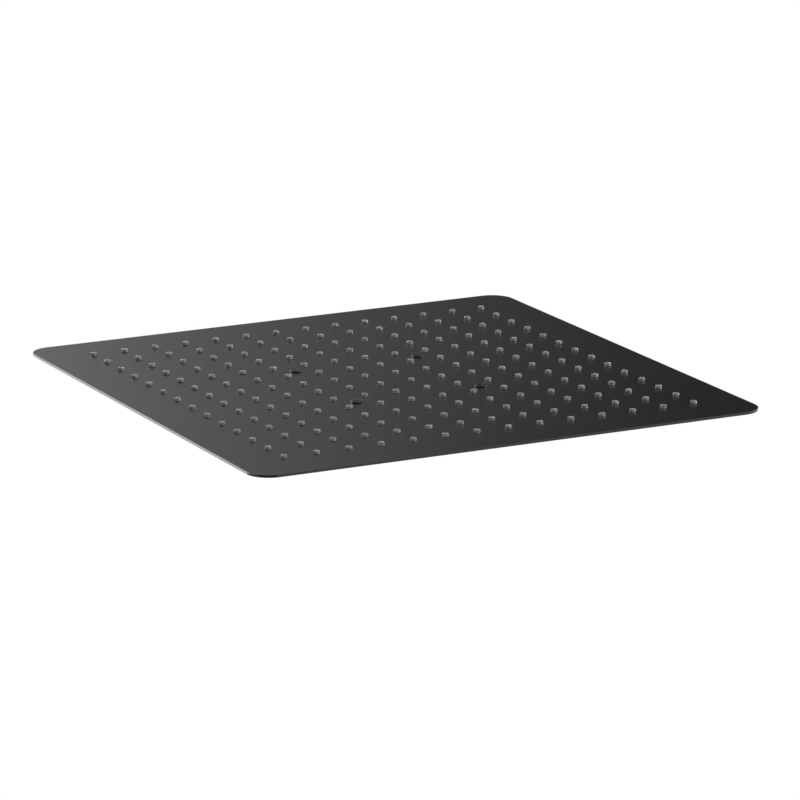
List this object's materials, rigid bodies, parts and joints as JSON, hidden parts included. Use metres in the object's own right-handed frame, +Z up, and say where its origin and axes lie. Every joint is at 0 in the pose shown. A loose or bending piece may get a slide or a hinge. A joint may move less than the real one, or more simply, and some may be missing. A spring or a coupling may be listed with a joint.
{
  "type": "rain shower head",
  "caption": "Large square thin-plate rain shower head in satin black, with a field of silicone nozzles, tie screws and a ball-swivel inlet for a half-inch shower arm.",
  "frame": {"origin": "centre of the inlet's mouth, on the inlet axis", "axes": "+Z up along the inlet axis, away from the spray face; +X and +Y along the sides of the square head"},
  "size_m": [0.4, 0.4, 0.0569],
  "materials": {
    "satin_black": "satin",
    "black_fittings": "satin",
    "black_screws": "satin",
    "grey_silicone": "satin",
    "seal_rubber": "matte",
    "ring_plastic": "satin",
    "bright_steel": "satin"
  },
  "bodies": {
    "connector": {"ball_connector": "black_fittings", "inlet_washer": "seal_rubber", "strainer": "bright_steel"},
    "friction_ring": {"friction_ring": "ring_plastic"},
    "ball_seal": {"ball_seal": "seal_rubber"},
    "head": {"face_plate": "satin_black", "back_plate": "satin_black", "nozzle_mat": "grey_silicone", "inlet_boss": "black_fittings", "swivel_collar": "black_fittings", "tie_screw_front_left": "black_screws", "screw_seal_front_left": "seal_rubber", "tie_post_front_left": "bright_steel", "tie_screw_front_right": "black_screws", "screw_seal_front_right": "seal_rubber", "tie_post_front_right": "bright_steel", "tie_screw_rear_left": "black_screws", "screw_seal_rear_left": "seal_rubber", "tie_post_rear_left": "bright_steel", "tie_screw_rear_right": "black_screws", "screw_seal_rear_right": "seal_rubber", "tie_post_rear_right": "bright_steel"}
  },
  "joints": [
    {"name": "tilt_x", "type": "hinge", "parent": "connector", "child": "friction_ring", "pos_m": [0, 0, -0.0335], "axis": [1, 0, 0], "range_deg": [-10, 10]},
    {"name": "tilt_y", "type": "hinge", "parent": "friction_ring", "child": "ball_seal", "pos_m": [0, 0, -0.0335], "axis": [0, 1, 0], "range_deg": [-10, 10]},
    {"name": "turn", "type": "hinge", "parent": "ball_seal", "child": "head", "pos_m": [0, 0, -0.0335], "axis": [0, 0, 1], "continuous": true}
  ]
}
